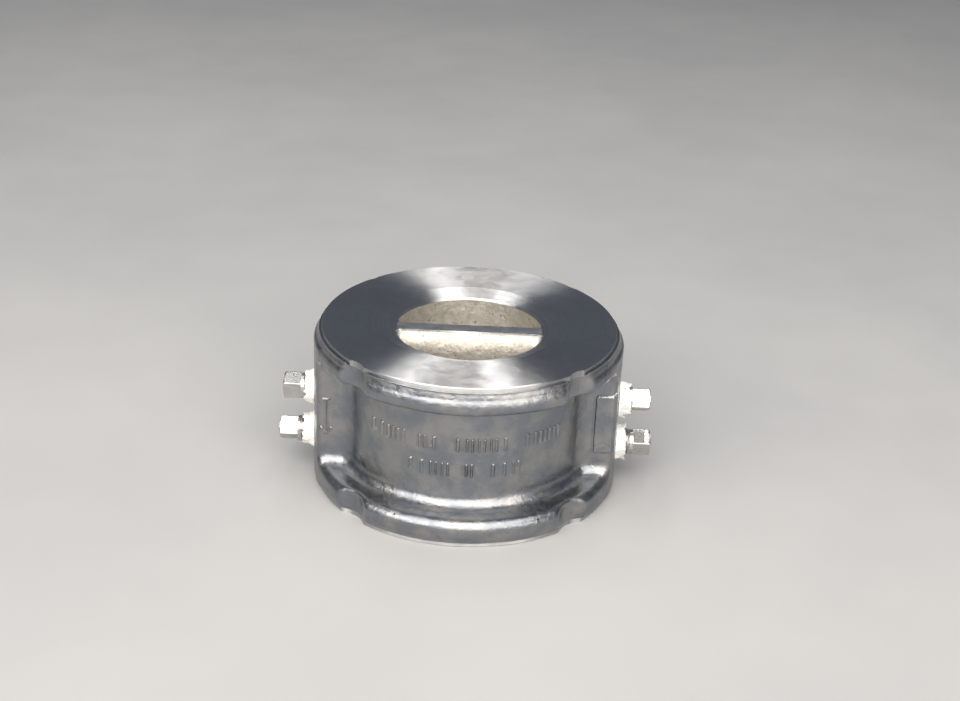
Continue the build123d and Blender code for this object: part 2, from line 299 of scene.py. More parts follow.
def casting(points):
    """Signed distance to the rough casting's outer skin, negative inside."""
    x, y, z = points.T
    r = np.hypot(x, y)
    neck = r - NECK_R
    outlet_rim = round_and(r - outlet_rim_r(z), z - RIM_HEIGHT, OUTLET_RIM_ROUND)
    inlet_rim = round_and(r - inlet_rim_r(z), FACE_TO_FACE - RIM_HEIGHT - z, INLET_RIM_ROUND)
    drum = round_or(neck, outlet_rim, OUTLET_FILLET)
    drum = round_or(drum, inlet_rim, INLET_FILLET)
    ends = np.maximum(BOSS_Z[0] - z, z - BOSS_Z[1])
    boss = np.maximum(round_and(r - BOSS_R, np.abs(y) - BOSS_HALF_WIDTH, BOSS_EDGE_ROUND), ends)
    skin = round_or(drum, boss, BOSS_FILLET)
    stud = np.hypot(np.abs(x) - STUD_PLACE, np.abs(y) - STUD_PLACE)
    low_notch = np.hypot(stud, np.maximum(z - NOTCH_BALL_Z, 0)) - NOTCH_R
    high_notch = np.maximum(stud - NOTCH_R, NOTCH_TOP_Z - z)
    skin = round_and(skin, -np.minimum(low_notch, high_notch), NOTCH_ROUND)
    return np.maximum(skin, r - CAST_R)


def slope(field, points, step=0.02):
    """Gradient of a distance field."""
    result = np.empty_like(points)
    for axis in range(3):
        ahead, behind = points.copy(), points.copy()
        ahead[:, axis] += step
        behind[:, axis] -= step
        result[:, axis] = (field(ahead) - field(behind)) / (2 * step)
    return result


def settle(field, points, rounds=12):
    """Moves points onto the surface of a distance field."""
    for _ in range(rounds):
        away = slope(field, points)
        size = np.maximum((away * away).sum(1), 0.05)
        points = points - (field(points) / size)[:, None] * away
    return points


def evenly(keys, spacing):
    """Places along a polyline of points at about that spacing, as fractions of a key number."""
    keys = np.asarray(keys, float)
    lengths = np.linalg.norm(np.diff(keys, axis=0), axis=1)
    along = np.concatenate(([0], np.cumsum(lengths)))
    count = int(along[-1] / spacing)
    return np.interp(np.linspace(0, along[-1], count + 1), along, np.arange(len(keys)))


def rough_casting():
    """The casting before machining: its skin, uneven as sand leaves it, closed at both ends."""
    top = FACE_TO_FACE
    stock = OUTLET_LIP_R + 0.4
    bead = inlet_rim_r(top - LIP_HEIGHT)
    foot = [(stock, -1), (stock, 1.2), (CAST_R, 3.9), (CAST_R, 6.2)]
    head = [(CAST_R, 52.6), (54.9, 55), (bead, 57.8), (bead, 59), (bead, 61)]
    neck = [
        (54.2, 8.9), (51.5, 10), (48.6, 10), (45.3, 11.4), (NECK_R, 14.6), (NECK_R, 30), (NECK_R, 46.6),
        (45.0, 49.0), (47.4, 50), (52.7, 50), (54.5, 50.8),
    ]
    boss_heights = (8.2, 9.6, 10.9, 12.4, 15.0, 30, 45.5, 47.2, 48.6, 49.9, 51.0)
    neck_line = np.array(foot + neck + head)
    boss_line = np.array(foot + [(BOSS_R, height) for height in boss_heights] + head)
    rows = evenly(neck_line, 0.52)
    neck_rows = np.array([np.interp(rows, range(len(neck_line)), neck_line[:, i]) for i in (0, 1)])
    boss_rows = np.array([np.interp(rows, range(len(boss_line)), boss_line[:, i]) for i in (0, 1)])
    lengths = [0, 15.6, 28.6, 81]
    places = np.linspace(0, lengths[-1], 122, endpoint=False)
    angles = np.interp(places, lengths, [0, 16.2, 22.2, 90])
    boss_share = np.interp(places, lengths, [1, 1, 0, 0])
    boss_share = boss_share * boss_share * (3 - 2 * boss_share)
    turn = np.concatenate((angles, 180 - angles[::-1], 180 + angles, 360 - angles[::-1]))
    share = np.concatenate((boss_share, boss_share[::-1], boss_share, boss_share[::-1]))
    keep = np.concatenate(([True], np.diff(turn) > 0.01))
    keep &= turn < 359.99
    turn, share = np.radians(turn[keep]), share[keep][:, None]
    r = share * boss_rows[0] + (1 - share) * neck_rows[0]
    z = share * boss_rows[1] + (1 - share) * neck_rows[1]
    shape = (len(turn), len(rows), 3)
    points = np.stack((r * np.cos(turn)[:, None], r * np.sin(turn)[:, None], z), axis=2).reshape(-1, 3)
    points = settle(casting, points)
    outward = slope(casting, points)
    outward /= np.linalg.norm(outward, axis=1)[:, None]
    uneven = 0.16 * lumps(points, 15, 1) + 0.09 * lumps(points, 5.5, 2) + 0.05 * lumps(points, 2.4, 3)
    uneven *= np.clip((top - LIP_HEIGHT + 0.6 - points[:, 2]) / 3, 0.25, 1)
    points = points + (uneven - 0.04)[:, None] * outward
    r = np.hypot(points[:, 0], points[:, 1])
    points[:, :2] *= np.minimum(1, (BODY_R - 0.05) / r)[:, None]
    return closed_tube(points.reshape(shape), (0, 0, -1.0), (0, 0, top + 1.0))


# ---------------------------------------------------------------- raised marks

def bar_edge(s, t, width, length):
    """Distance outside a bar's outline, negative inside."""
    return np.maximum(np.abs(s) - width / 2, np.abs(t) - length / 2)


def line_edge(s, t, start, end, width):
    """Distance outside a round-ended line."""
    (s0, t0), (s1, t1) = start, end
    ds, dt = s1 - s0, t1 - t0
    along = np.clip(((s - s0) * ds + (t - t0) * dt) / (ds * ds + dt * dt), 0, 1)
    return np.hypot(s - s0 - along * ds, t - t0 - along * dt) - width / 2


def raised_patch(size, edge, rise, cell, seed, place):
    """A soft-edged mark that stands on a wall. Outside its outline it dips under the wall.

    place turns (sideways, upward, outward) grids into points in space.
    """
    width, length = size
    columns, rows = int(width / cell) + 1, int(length / cell) + 1
    sideways = np.linspace(-width / 2, width / 2, columns)
    upward = np.linspace(-length / 2, length / 2, rows)
    s, t = np.meshgrid(sideways, upward, indexing="ij")
    inside = np.clip(0.5 - edge(s, t) / 1.15, 0, 1)
    inside = inside * inside * (3 - 2 * inside)
    flat = np.stack((s.ravel(), t.ravel(), np.zeros(s.size)), axis=1)
    wobble = lumps(flat, 1.6, seed).reshape(s.shape)
    out = (rise + MARK_DIP + 0.1 * wobble) * inside - MARK_DIP
    border = np.zeros(s.shape, bool)
    border[0, :] = border[-1, :] = border[:, 0] = border[:, -1] = True
    out[border] = -MARK_DIP - 0.4
    points = place(s, t, out).reshape(-1, 3).tolist()
    faces = grid_faces(columns, rows, False)
    rim = list(range(rows))
    rim += [column * rows + rows - 1 for column in range(1, columns)]
    rim += [(columns - 1) * rows + row for row in range(rows - 2, -1, -1)]
    rim += [column * rows for column in range(columns - 2, 0, -1)]
    back = len(points)
    points.append(tuple(place(np.array(0.0), np.array(0.0), np.array(-2.0))))
    for i, corner in enumerate(rim):
        faces.append((corner, rim[(i + 1) % len(rim)], back))
    return points, faces


def on_neck(azimuth, z):
    """Places a mark on the round neck."""
    def place(s, t, out):
        angle = math.radians(azimuth) + s / NECK_R
        return np.stack(((NECK_R + out) * np.cos(angle), (NECK_R + out) * np.sin(angle), z + t), axis=-1)
    return place


def on_boss(x, z):
    """Places a mark on the flat front face of a boss."""
    def place(s, t, out):
        return np.stack((x + s, -BOSS_HALF_WIDTH - out, z + t), axis=-1)
    return place


MARK_ROWS = ((34.0, (4, 2, 5, 4)), (24.3, (4, 1, 3)))
MARK_PITCH_DEG = 5.4
MARK_LENGTH = 5.3
MARK_STROKE = 1.0
MARK_DIP = 0.6


def single_mark(s, t):
    """One upright bar."""
    return bar_edge(s, t, 1.3, MARK_LENGTH)


def double_mark(s, t):
    """Two upright bars close together."""
    return bar_edge(np.abs(s) - 0.95, t, MARK_STROKE, MARK_LENGTH)


def arrow_edge(s, t):
    """A plain arrow that points down, from the inlet to the outlet."""
    tip = (0, -7.4)
    shaft = line_edge(s, t, (0, 6.4), tip, 0.9)
    left = line_edge(s, t, (-1.8, -4.9), tip, 0.9)
    right = line_edge(s, t, (1.8, -4.9), tip, 0.9)
    tail = line_edge(s, t, (-1.2, 6.4), (1.2, 6.4), 0.9)
    return np.minimum(np.minimum(shaft, tail), np.minimum(left, right))


def plate_edge(s, t):
    """A blank plate with rounded corners."""
    return round_and(np.abs(s) - 3.4, np.abs(t) - 11.5, 1.0)


def raised_marks():
    """Rows of plain marks on the front of the neck, the flow arrow and the blank raised plate."""
    solids = []
    kinds = (double_mark, single_mark, double_mark, double_mark, single_mark)
    for z, groups in MARK_ROWS:
        places = []
        for group in groups:
            start = places[-1] + 2 if places else 0
            places += [start + i for i in range(group)]
        for i, place in enumerate(places):
            azimuth = 270 + MARK_PITCH_DEG * (place - places[-1] / 2)
            kind = kinds[(i * 2 + int(z)) % len(kinds)]
            solids.append(raised_patch((4.0, 6.8), kind, 0.5, 0.24, i, on_neck(azimuth, z)))
    solids.append(raised_patch((6.0, 17.4), arrow_edge, 0.4, 0.28, 40, on_boss(-49.6, 28.8)))
    solids.append(raised_patch((8.6, 24.8), plate_edge, 0.5, 0.4, 50, on_boss(49.2, 29.7)))
    return joined("marks", solids)


# ---------------------------------------------------------------- machining tools

def facing_tools():
    """What the lathe takes off at both ends: the gasket faces and the steps round them."""
    top = FACE_TO_FACE
    step = top - LIP_HEIGHT
    inlet = turned_z([
        (0, top), (INLET_LIP_R - LIP_CHAMFER, top), (INLET_LIP_R, top - LIP_CHAMFER),
        (INLET_LIP_R, step - 0.4), (INLET_LIP_R + 0.1, step - 0.5),
        (INLET_LIP_R + 0.5, step - 0.5), (INLET_LIP_R + 0.6, step - 0.4),
        (INLET_LIP_R + 0.6, step - 0.1), (INLET_LIP_R + 0.7, step), (60, step), (60, top + 4), (0, top + 4),
    ], 288)
    outlet = turned_z([
        (0, -4), (60, -4), (60, LIP_HEIGHT), (OUTLET_LIP_R, LIP_HEIGHT), (OUTLET_LIP_R, LIP_CHAMFER),
        (OUTLET_LIP_R - LIP_CHAMFER, 0), (0, 0),
    ], 288)
    return joined("facing", [inlet, outlet])


def boring_tools():
    """The dish round the ports and the bore on the outlet side."""
    top = FACE_TO_FACE
    rise = DISH_DEPTH / (DISH_R - THROAT_R)
    dish = turned_z([
        (0, top - DISH_DEPTH), (THROAT_R - 0.4, top - DISH_DEPTH),
        (THROAT_R + 0.2, top - DISH_DEPTH + 0.08), (DISH_R - 0.5, top - 0.5 * rise - 0.12),
        (DISH_R, top - 0.12), (DISH_R + 0.3, top),
        (DISH_R + 2, top + 2 * rise), (0, top + 2 * rise),
    ], 240)
    bore = turned_z([(0, -2), (BORE_R + 2.6, -2), (BORE_R, 0.6), (BORE_R, SEAT_Z), (0, SEAT_Z)], 240)
    return joined("boring", [dish, bore])


def bar_half_width(z):
    """Half the width of the bar between the ports: a flat top that swells downwards to straight sides."""
    shoulder_z = FACE_TO_FACE - DISH_DEPTH - BAR_SHOULDER_DROP
    rise = np.clip((z - shoulder_z) / BAR_SHOULDER_DROP, 0, 1)
    return BAR_TOP_HALF_WIDTH + (BAR_HALF_WIDTH - BAR_TOP_HALF_WIDTH) * np.sqrt(1 - rise * rise)


def port_field(points):
    """Signed distance to the wall of a port, negative in the port. The mouth is chamfered."""
    x, y, z = points.T
    chamfer = np.clip(z - (FACE_TO_FACE - DISH_DEPTH - MOUTH_CHAMFER), 0, 1)
    wall = np.hypot(x, y) - THROAT_R - chamfer
    return round_and(wall, bar_half_width(z) - np.abs(y), PORT_CORNER_R)


def port_tools():
    """The two D-shaped ports, with their rough cast walls."""
    shoulder_z = FACE_TO_FACE - DISH_DEPTH - BAR_SHOULDER_DROP
    swings = np.radians(np.linspace(90, 0, 22))
    heights = np.concatenate((np.linspace(SEAT_Z - 1.5, shoulder_z - 0.6, 11),
                              shoulder_z + (BAR_SHOULDER_DROP - MOUTH_CHAMFER) * np.cos(swings),
                              (FACE_TO_FACE - DISH_DEPTH + 0.5, FACE_TO_FACE - DISH_DEPTH + 4)))
    angles = np.linspace(0, 2 * math.pi, 230, endpoint=False)
    middle = 14.0
    solids = []
    for side in (-1, 1):
        z = np.tile(heights, len(angles))
        aim = np.repeat(angles, len(heights))
        near, far = np.zeros(len(z)), np.full(len(z), 40.0)
        for _ in range(26):
            half = (near + far) / 2
            points = np.stack((half * np.cos(aim), side * middle + half * np.sin(aim), z), axis=1)
            wrong_side = points[:, 1] * side < 0
            outside = (port_field(points) > 0) | wrong_side
            far = np.where(outside, half, far)
            near = np.where(outside, near, half)
        points = np.stack((near * np.cos(aim), side * middle + near * np.sin(aim), z), axis=1)
        outward = points - np.array((0, side * middle, 0))
        outward[:, 2] = 0
        outward /= np.linalg.norm(outward, axis=1)[:, None]
        uneven = 0.13 * lumps(points, 4.0, 5) + 0.12 * lumps(points, 1.7, 6)
        uneven *= np.clip((FACE_TO_FACE - DISH_DEPTH + 0.6 - z) / 1.2, 0.15, 1)
        points = points + uneven[:, None] * outward
        rings = points.reshape(len(angles), len(heights), 3)
        solids.append(closed_tube(rings, (0, side * middle, heights[0]), (0, side * middle, heights[-1])))
    return joined("ports", solids)


def seal_tools():
    """The groove that holds the moulded seat: a ring, and a slot across it under the bar."""
    steps = 180
    low, high = SEAT_Z - 0.5, SEAT_Z + SEAL_THICKNESS
    outline = [(SEAL_INNER_R, low), (SEAL_OUTER_R, low), (SEAL_OUTER_R, high), (SEAL_INNER_R, high)]
    angles = np.linspace(0, 2 * math.pi, steps, endpoint=False)
    points = [(r * math.cos(a), r * math.sin(a), z) for a in angles for r, z in outline]
    faces = []
    for step in range(steps):
        here, there = step * 4, (step + 1) % steps * 4
        for corner in range(4):
            following = (corner + 1) % 4
            faces.append((here + corner, there + corner, there + following, here + following))
    return joined("seal_ring", [(points, faces)]), joined("seal_slot", [block(
        (-SEAL_INNER_R - 0.4, -SEAL_BAR_HALF_WIDTH, low), (SEAL_INNER_R + 0.4, SEAL_BAR_HALF_WIDTH, high))])


def crest_r(x, end_x):
    """Crest radius of the tapered thread at x, for a plug whose head ends at end_x."""
    return THREAD_CREST_R - THREAD_TAPER * (end_x - PLUG_HEAD_LENGTH - x)


def pin_hole_tools():
    """Both pin holes, right through the body, with a tapered tapped end on each side."""
    solids = []
    for name, z in (("hinge", HINGE_Z), ("stop", STOP_Z)):
        end_x = node_box(f"right_{name}_plug")[1].x
        inner_x = end_x - PLUG_HEAD_LENGTH - PLUG_THREAD_LENGTH
        mouth_r = crest_r(SPOT_FACE_X, end_x) + 0.1
        half = [
            (PIN_R + 0.05, inner_x - 3.4), (4.3, inner_x - 3.4), (4.3, inner_x),
            (crest_r(inner_x, end_x) + 0.1, inner_x), (mouth_r, SPOT_FACE_X - 0.4),
            (mouth_r + 0.8, SPOT_FACE_X + 0.4), (mouth_r + 0.8, 60),
        ]
        outline = [(0, -60)] + [(r, -x) for r, x in reversed(half)] + half + [(0, 60)]
        solids.append(turned_x(outline, z, 64))
    return joined("pin_holes", solids)


def spot_face_tools():
    """The flats milled round the mouths of the pin holes."""
    low, high = SPOT_FACE_Z
    solids = []
    for side in (-1, 1):
        near, far = sorted((side * SPOT_FACE_X, side * 60))
        solids.append(block((near, -SPOT_FACE_HALF_WIDTH, low), (far, SPOT_FACE_HALF_WIDTH, high)))
    return joined("spot_faces", solids)


def zone(centre, normal):
    """Which finish a face of the body has, from where it lies."""
    x, y, z = centre
    r = math.hypot(x, y)
    top = FACE_TO_FACE
    if z > top - DISH_DEPTH - MOUTH_CHAMFER and r < DISH_R + 0.5 and normal.z > 0.35:
        on_bar = abs(y) < BAR_TOP_HALF_WIDTH + MOUTH_CHAMFER + 0.1 and r < THROAT_R - 1.5
        return BAR_TOP if on_bar else TURNED
    if z > top - LIP_HEIGHT - 0.52 and (r < INLET_LIP_R + 0.72 or normal.z > 0.97):
        return TURNED
    if z < LIP_HEIGHT + 0.02 and (r < OUTLET_LIP_R + 0.05 or normal.z < -0.97):
        return TURNED
    if r < THROAT_R + 0.6 and z > SEAT_Z + 0.02 and abs(normal.z) < 0.98:
        return PORT
    if abs(r - BORE_R) < 0.1 or (r < BORE_R and z < SEAT_Z + SEAL_THICKNESS + 0.05):
        return BORED
    if abs(abs(x) - SPOT_FACE_X) < 0.02 and abs(normal.x) > 0.99:
        return BORED
    if abs(y) < 5.6 and min(abs(z - HINGE_Z), abs(z - STOP_Z)) < 5.6 and abs(normal.x) < 0.6:
        return BORED if r < SPOT_FACE_X + 0.3 and abs(x) > 24 else CAST
    return CAST


def mark_zones(piece, angle):
    """Gives each face its finish. Steep edges, turned ones and those between finishes stay crisp."""
    mesh = piece.data
    for face in mesh.polygons:
        face.material_index = zone(face.center / MM, face.normal)
    smooth(piece, angle)
    sides = {}
    for face in mesh.polygons:
        for key in face.edge_keys:
            sides.setdefault(key, []).append(face)
    sharp = mesh.attributes.get("sharp_edge") or mesh.attributes.new("sharp_edge", "BOOLEAN", "EDGE")
    for edge in mesh.edges:
        one, other = sides[edge.key]
        bend = math.degrees(one.normal.angle(other.normal, 0))
        if one.material_index != other.material_index:
            sharp.data[edge.index].value = True
        elif one.material_index == TURNED and bend > TURNED_CREASE:
            sharp.data[edge.index].value = True


def valve_body(materials):
    """The cast and machined body."""
    points, faces = rough_casting()
    body = new_piece("body_casting", points, faces)
    combine(body, raised_marks(), "UNION")
    combine(body, facing_tools(), "DIFFERENCE")
    combine(body, boring_tools(), "DIFFERENCE")
    combine(body, port_tools(), "DIFFERENCE")
    ring, slot = seal_tools()
    combine(body, ring, "DIFFERENCE")
    combine(body, slot, "DIFFERENCE")
    combine(body, pin_hole_tools(), "DIFFERENCE")
    combine(body, spot_face_tools(), "DIFFERENCE")
    weld(body)
    body.data.materials.clear()
    for item in materials:
        body.data.materials.append(item)
    mark_zones(body, 32)
    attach(body, "root")
    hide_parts("valve_body")
    return body


# ---------------------------------------------------------------- plugs, tape and spring

def square_outline(half, corner):
    """Points round a square with rounded corners, some of them on the flats close to each corner."""
    flat = half - corner
    outline = []
    for quarter in range(4):
        turn = Matrix.Rotation(quarter * math.pi / 2, 2)
        side = [(half, v) for v in (-flat + 0.08, -flat / 3, flat / 3, flat - 0.08)]
        bend = np.radians(np.linspace(0, 90, 7))
        arc = [(flat + corner * math.cos(a), flat + corner * math.sin(a)) for a in bend]
        outline += [tuple(turn @ Vector(p)) for p in side + arc]
    return outline


def plug_head(end_x):
    """The square head, with the ends chamfered as on turned bar."""
    start_x = end_x - PLUG_HEAD_LENGTH
    stations = [
        (start_x, 4.15), (start_x + 0.35, 4.9), (start_x + 0.7, 6), (end_x - 1.0, 6),
        (end_x - 0.55, 4.75), (end_x - 0.25, 4.45), (end_x - 0.06, 4.1), (end_x, 3.85),
    ]
    rings = []
    for y, z in square_outline(PLUG_SQUARE / 2, 0.45):
        reach = math.hypot(y, z)
        rings.append([(x, y * min(1, limit / reach), z * min(1, limit / reach)) for x, limit in stations])
    return closed_tube(np.array(rings), (start_x, 0, 0), (end_x, 0, 0))


def plug_thread(end_x):
    """The tapered thread, as one helical groove."""
    head_x = end_x - PLUG_HEAD_LENGTH
    start_x = head_x - PLUG_THREAD_LENGTH
    stations = np.linspace(start_x, head_x + 0.5, 118)
    rings = []
    for turn in np.linspace(0, 1, 44, endpoint=False):
        phase = (stations / THREAD_PITCH - turn) % 1
        groove = np.clip(np.abs(2 * phase - 1) * 1.25 - 0.12, 0, 1)
        run_out = np.clip((head_x - 0.4 - stations) / THREAD_PITCH, 0, 1)
        lead_in = np.clip((start_x + 0.9 - stations) / 0.9, 0, 1)
        crest = THREAD_CREST_R - THREAD_TAPER * (head_x - stations)
        r = crest - THREAD_DEPTH * (1 - groove) * run_out - (1 - run_out) * THREAD_DEPTH - 0.5 * lead_in
        angle = 2 * math.pi * turn
        rings.append([(x, q * math.cos(angle), q * math.sin(angle)) for x, q in zip(stations, r)])
    return closed_tube(np.array(rings), (start_x, 0, 0), (stations[-1], 0, 0))


def plug(side, place, materials):
    """One square-head pipe plug. On the left side it is turned half round Z."""
    name = f"{side}_{place}_plug"
    end_x = max(abs(v.x) for v in node_box(name))
    lean = HEAD_TURN[f"{side}_{place}"] * (1 if side == "left" else -1)
    piece = new_piece(f"{name}_turned", *plug_head(end_x))
    piece.data.transform(Matrix.Rotation(-math.radians(lean), 4, "X"))
    combine(piece, new_piece("thread", *plug_thread(end_x)), "UNION")
    piece.data.materials.clear()
    for item in materials:
        piece.data.materials.append(item)
    half_turn = Matrix.Rotation(math.pi if side == "left" else 0, 4, "Z")
    height = HINGE_Z if place == "hinge" else STOP_Z
    piece.data.transform(Matrix.Translation((0, 0, height * MM)) @ half_turn)
    smooth(piece, 34)
    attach(piece, "root")
    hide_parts(name)


def bump(distance, width):
    """One in the middle, falling smoothly to nothing at the width."""
    near = np.clip(1 - np.abs(distance) / width, 0, 1)
    return near * near * (3 - 2 * near)


def tape_layer(radii, reach, flaps, seed):
    """A ragged, crumpled collar of thin tape that starts at the body.

    radii are those at the body and at the outer edge. Each flap is (angle, length, width, flare).
    """
    columns, rows = 150, 12
    thickness = 0.16
    turns = np.linspace(0, 2 * math.pi, columns, endpoint=False)
    around = np.stack((np.cos(turns), np.sin(turns), np.zeros(columns)), axis=1)
    tear = lumps(around, 0.5, seed) + 0.6 * lumps(around, 0.14, seed + 1)
    length = reach * (1 + 0.28 * tear)
    flare = np.zeros(columns)
    for angle, more, width, out in flaps:
        away = (np.degrees(turns) - angle + 180) % 360 - 180
        share = bump(away + 5 * lumps(around, 0.2, seed + 2), width)
        length = length + more * share
        flare = flare + out * share
    rings = []
    for column, turn in enumerate(turns):
        along = np.linspace(0, 1, rows)
        wall_x = math.sqrt(BOSS_R ** 2 - (radii[0] * math.cos(turn)) ** 2)
        x = min(SPOT_FACE_X, wall_x) + 0.04 + along * length[column]
        u, v = around[column][:2]
        fold = np.array([noise.noise(Vector((2.2 * u, 2.2 * v, 0.5 * t + seed))) for t in along])
        crease = np.array([noise.noise(Vector((7 * u, 7 * v, 1.4 * t - seed))) for t in along])
        r = radii[0] + (radii[1] - radii[0]) * along + 0.42 * fold + 0.26 * crease
        r = np.maximum(r + flare[column] * along * along, THREAD_CREST_R + 0.12)
        outer = [(a, b * math.cos(turn), b * math.sin(turn)) for a, b in zip(x, r + thickness)]
        inner = [(a, b * math.cos(turn), b * math.sin(turn)) for a, b in zip(x, r)]
        rings.append(outer + inner[::-1])
    rings = np.array(rings)
    points = rings.reshape(-1, 3)
    stations = rings.shape[1]
    faces = []
    for column in range(columns):
        here, there = column * stations, (column + 1) % columns * stations
        for row in range(stations):
            following = (row + 1) % stations
            faces.append((here + row, there + row, there + following, here + following))
    return points, faces


# Layers of each bunch of tape: radii at the body and at the outer edge, reach, and flaps.
# Angles go round +X from +Y, before a left bunch is turned half round Z.
TAPE_LAYERS = {
    "left_hinge": (
        ((5.9, 5.3), 2.6, ((80, 1.0, 40, 0.3), (255, 2.2, 26, 0.5))),
        ((5.5, 5.25), 3.5, ()),
        ((6.35, 5.8), 1.5, ((265, 1.4, 40, 0.5),)),
    ),
    "left_stop": (
        ((6.0, 5.3), 3.0, ((60, 0.8, 50, 0.2), (250, 1.0, 60, 0.3))),
        ((5.5, 5.2), 4.2, ()),
        ((6.5, 5.7), 1.7, ((120, 0.9, 60, 0.2),)),
    ),
    "right_hinge": (
        ((5.9, 5.4), 3.0, ((75, 1.6, 30, 0.2), (290, 2.2, 22, 0.9))),
        ((5.5, 5.3), 4.0, ((40, 1.2, 16, 0),)),
        ((6.5, 6.0), 1.6, ((250, 1.6, 26, 1.2), (95, 1.2, 30, 0.4))),
    ),
    "right_stop": (
        ((6.0, 5.5), 2.6, ((85, 1.0, 26, 2.0), (262, 1.5, 34, 1.4))),
        ((5.5, 5.3), 3.4, ()),
        ((6.6, 6.2), 1.5, ((300, 1.2, 40, 0.8), (60, 0.8, 26, 0.4))),
    ),
}


def tape(side, place, materials):
    """The thread tape that bunches up where a plug enters the body."""
    name = f"{side}_{place}_tape"
    layers = TAPE_LAYERS[f"{side}_{place}"]
    seed = 3.0 * list(TAPE_LAYERS).index(f"{side}_{place}")
    solids = [tape_layer(*layer, seed + 7 * i) for i, layer in enumerate(layers)]
    piece = joined(f"{name}_bunched", solids)
    for item in materials:
        piece.data.materials.append(item)
    half_turn = Matrix.Rotation(math.pi if side == "left" else 0, 4, "Z")
    height = HINGE_Z if place == "hinge" else STOP_Z
    piece.data.transform(Matrix.Translation((0, 0, height * MM)) @ half_turn)
    smooth(piece, 60)
    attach(piece, "root")
    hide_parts(name)


def wire(path, radius, taper_start, taper_end):
    """A round wire along a path of points. A tapered end is rounded off as a cut wire is."""
    path = np.asarray(path, float)
    ahead = np.gradient(path, axis=0)
    ahead /= np.linalg.norm(ahead, axis=1)[:, None]
    across = np.cross(ahead, (1.0, 0, 0))
    across /= np.linalg.norm(across, axis=1)[:, None]
    beside = np.cross(ahead, across)
    size = np.full(len(path), radius)
    size[:2] *= (0.6, 0.92) if taper_start else 1
    size[-2:] *= (0.92, 0.6) if taper_end else 1
    angles = np.linspace(0, 2 * math.pi, 16, endpoint=False)
    rings = np.array([path + size[:, None] * (math.cos(a) * across + math.sin(a) * beside) for a in angles])
    return closed_tube(rings, tuple(path[0]), tuple(path[-1]))


def coil_path(start_turn, end_turn):
    """Points along the left-hand coil between two places counted in turns from its left end."""
    turns = np.linspace(start_turn, end_turn, int((end_turn - start_turn) * 30) + 1)
    angles = math.pi / 2 - 2 * math.pi * turns
    x = -COIL_HALF_LENGTH + 2 * COIL_HALF_LENGTH * turns / COIL_TURNS
    return np.stack((x, COIL_R * np.cos(angles), HINGE_Z + COIL_R * np.sin(angles)), axis=1)


def leg_path(side):
    """Points along a straight leg: from tip to coil on the left, and from coil to tip on the right."""
    distances = np.concatenate(([SPRING_LEG, SPRING_LEG - 0.12], np.linspace(SPRING_LEG - 1, 0.6, 12)))
    leg = np.array([(side * COIL_HALF_LENGTH, side * d, HINGE_Z + COIL_R) for d in distances])
    return leg if side < 0 else leg[::-1]


def spring(materials):
    """The torsion spring. Its middle stays put, and each end turns with the plate that its leg presses on.

    An end has a quarter turn more wire than it shows, hidden in the middle's wire until its plate opens.
    """
    end_turns = 1.6
    hidden_turns = 0.25
    between = coil_path(end_turns, COIL_TURNS - end_turns)
    middle = new_piece("spring_coils", *wire(between, WIRE_R, False, False))
    left = np.concatenate((leg_path(-1), coil_path(0, end_turns + hidden_turns)))
    right = np.concatenate((coil_path(COIL_TURNS - end_turns - hidden_turns, COIL_TURNS), leg_path(1)))
    left_end = new_piece("spring_left_end", *wire(left, WIRE_R - 0.02, True, False))
    right_end = new_piece("spring_right_end", *wire(right, WIRE_R - 0.02, False, True))
    for piece, rides_on in ((middle, "root"), (left_end, "front_plate"), (right_end, "rear_plate")):
        for item in materials:
            piece.data.materials.append(item)
        smooth(piece, 40)
        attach(piece, rides_on)
        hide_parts("closing_spring")


# ---------------------------------------------------------------- materials

